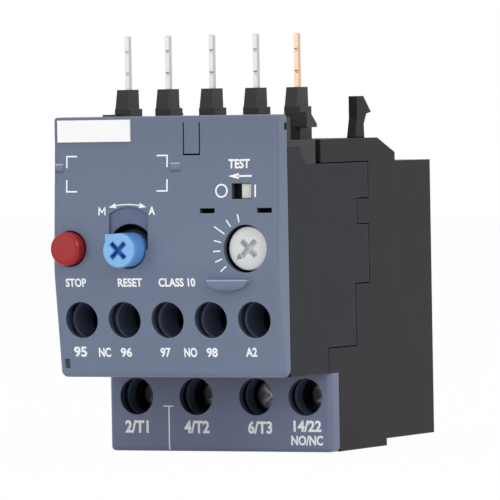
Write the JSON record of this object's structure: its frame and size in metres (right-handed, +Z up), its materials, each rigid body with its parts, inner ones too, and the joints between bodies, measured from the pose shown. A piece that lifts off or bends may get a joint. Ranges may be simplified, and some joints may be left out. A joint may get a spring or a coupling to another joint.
{
  "type": "thermal overload relay",
  "caption": "Plug-on thermal overload relay with setting dial, stop and reset buttons, test slider and screw terminals.",
  "frame": {"origin": "middle of the underside: half way across, half way from the reset knob's front to the rear face, on the plane of the foot", "axes": "+X to the right seen from the front, +Y from the front to the rear, +Z up towards the plug pins' tips"},
  "size_m": [0.045, 0.0708, 0.076],
  "materials": {
    "blue_grey_plastic": "satin",
    "dark_blue_grey_plastic": "satin",
    "black_plastic": "matte",
    "white_plastic": "satin",
    "red_plastic": "satin",
    "blue_plastic": "satin",
    "light_grey_plastic": "satin",
    "amber_plastic": "satin",
    "tinned_steel": "satin",
    "silver_brass": "satin",
    "bare_copper": "satin",
    "spring_steel": "satin",
    "bimetal": "satin",
    "mica": "matte",
    "heater_alloy": "satin"
  },
  "bodies": {
    "housing": {"front_cover": "blue_grey_plastic", "marking_label": "white_plastic", "terminal_cover": "dark_blue_grey_plastic", "front_housing": "black_plastic", "rear_housing": "black_plastic", "pin_carrier": "black_plastic", "retaining_hooks": "black_plastic", "main_pin_1": "silver_brass", "main_pin_2": "silver_brass", "main_pin_3": "silver_brass", "aux_pin_a2": "silver_brass", "aux_pin_14_22": "bare_copper", "terminal_bar_1": "silver_brass", "terminal_bar_2": "silver_brass", "terminal_bar_3": "silver_brass", "contact_post_95": "silver_brass", "contact_post_96": "silver_brass", "contact_post_97": "silver_brass", "contact_post_98": "silver_brass", "terminal_bar_a2": "silver_brass", "main_terminal_screws": "tinned_steel", "aux_terminal_screws": "tinned_steel", "main_clamp_plates": "tinned_steel", "aux_clamp_plates": "tinned_steel", "setting_lever_axle": "spring_steel", "trip_lever_axle": "spring_steel", "stop_spring": "spring_steel", "reset_spring": "spring_steel", "test_spring": "spring_steel"},
    "stop_button": {"stop_button": "red_plastic"},
    "reset_plunger": {"reset_plunger": "black_plastic"},
    "reset_selector": {"reset_selector": "blue_plastic"},
    "test_slider": {"test_slider": "light_grey_plastic"},
    "setting_dial": {"setting_dial": "light_grey_plastic", "setting_cam": "light_grey_plastic"},
    "setting_lever": {"setting_lever": "amber_plastic", "compensation_strip": "bimetal"},
    "trip_slide_upper": {"trip_slide_upper": "amber_plastic"},
    "trip_slide_lower": {"trip_slide_lower": "amber_plastic", "differential_lever": "white_plastic"},
    "trip_lever": {"trip_lever": "white_plastic"},
    "contact_carriage": {"contact_carriage": "amber_plastic", "nc_contact_bridge": "silver_brass", "no_contact_bridge": "silver_brass"},
    "bimetal_1": {"bimetal_strip_1": "bimetal", "insulating_sleeve_1": "mica", "heater_winding_1": "heater_alloy"},
    "bimetal_2": {"bimetal_strip_2": "bimetal", "insulating_sleeve_2": "mica", "heater_winding_2": "heater_alloy"},
    "bimetal_3": {"bimetal_strip_3": "bimetal", "insulating_sleeve_3": "mica", "heater_winding_3": "heater_alloy"}
  },
  "joints": [
    {"name": "stop_press", "type": "slide", "parent": "housing", "child": "stop_button", "axis": [0, 1, 0], "range_m": [0, 0.0021], "stiffness_N_per_m": 400, "springref_m": -0.0015, "deforming": ["stop_spring"]},
    {"name": "reset_press", "type": "slide", "parent": "housing", "child": "reset_plunger", "axis": [0, 1, 0], "range_m": [0, 0.0021], "stiffness_N_per_m": 400, "springref_m": -0.0015, "deforming": ["reset_spring"]},
    {"name": "reset_mode_turn", "type": "hinge", "parent": "reset_plunger", "child": "reset_selector", "pos_m": [-0.007, -0.0301, 0.03745], "axis": [0, 1, 0], "range_deg": [0, 90]},
    {"name": "test_slide", "type": "slide", "parent": "housing", "child": "test_slider", "axis": [-1, 0, 0], "range_m": [0, 0.00175], "stiffness_N_per_m": 300, "springref_m": -0.001, "deforming": ["test_spring"]},
    {"name": "setting_turn", "type": "hinge", "parent": "housing", "child": "setting_dial", "pos_m": [0.0162, -0.0211, 0.03755], "axis": [0, 1, 0], "range_deg": [0, 116]},
    {"name": "setting_lever_swing", "type": "hinge", "parent": "housing", "child": "setting_lever", "pos_m": [0.0065, -0.0191, 0.0445], "axis": [0, 1, 0], "range_deg": [0, 13]},
    {"name": "overload_slide", "type": "slide", "parent": "housing", "child": "trip_slide_upper", "axis": [1, 0, 0], "range_m": [0, 0.0016]},
    {"name": "lower_slide", "type": "slide", "parent": "housing", "child": "trip_slide_lower", "axis": [1, 0, 0], "range_m": [0, 0.0016]},
    {"name": "trip_lever_swing", "type": "hinge", "parent": "housing", "child": "trip_lever", "pos_m": [-0.0155, -0.0016, 0.04], "axis": [0, 0, -1], "range_deg": [0, 7.7]},
    {"name": "contact_switch", "type": "slide", "parent": "housing", "child": "contact_carriage", "axis": [0, -1, 0], "range_m": [0, 0.0015]},
    {"name": "bimetal_1_bend", "type": "hinge", "parent": "housing", "child": "bimetal_1", "pos_m": [-0.0162, 0.0159, 0.02], "axis": [0, 1, 0], "range_deg": [0, 3.7]},
    {"name": "bimetal_2_bend", "type": "hinge", "parent": "housing", "child": "bimetal_2", "pos_m": [-0.0047, 0.0159, 0.02], "axis": [0, 1, 0], "range_deg": [0, 3.7]},
    {"name": "bimetal_3_bend", "type": "hinge", "parent": "housing", "child": "bimetal_3", "pos_m": [0.0069, 0.0159, 0.02], "axis": [0, 1, 0], "range_deg": [0, 3.7]}
  ],
  "couplings": [
    {"joint": "setting_lever_swing", "follows": "setting_turn", "ratio": 0.112},
    {"joint": "lower_slide", "follows": "overload_slide", "ratio": 1},
    {"joint": "trip_lever_swing", "follows": "overload_slide", "rad_per_m": 83.5},
    {"joint": "contact_switch", "follows": "overload_slide", "ratio": 0.9375},
    {"joint": "bimetal_1_bend", "follows": "overload_slide", "rad_per_m": 40},
    {"joint": "bimetal_2_bend", "follows": "overload_slide", "rad_per_m": 40},
    {"joint": "bimetal_3_bend", "follows": "overload_slide", "rad_per_m": 40}
  ]
}
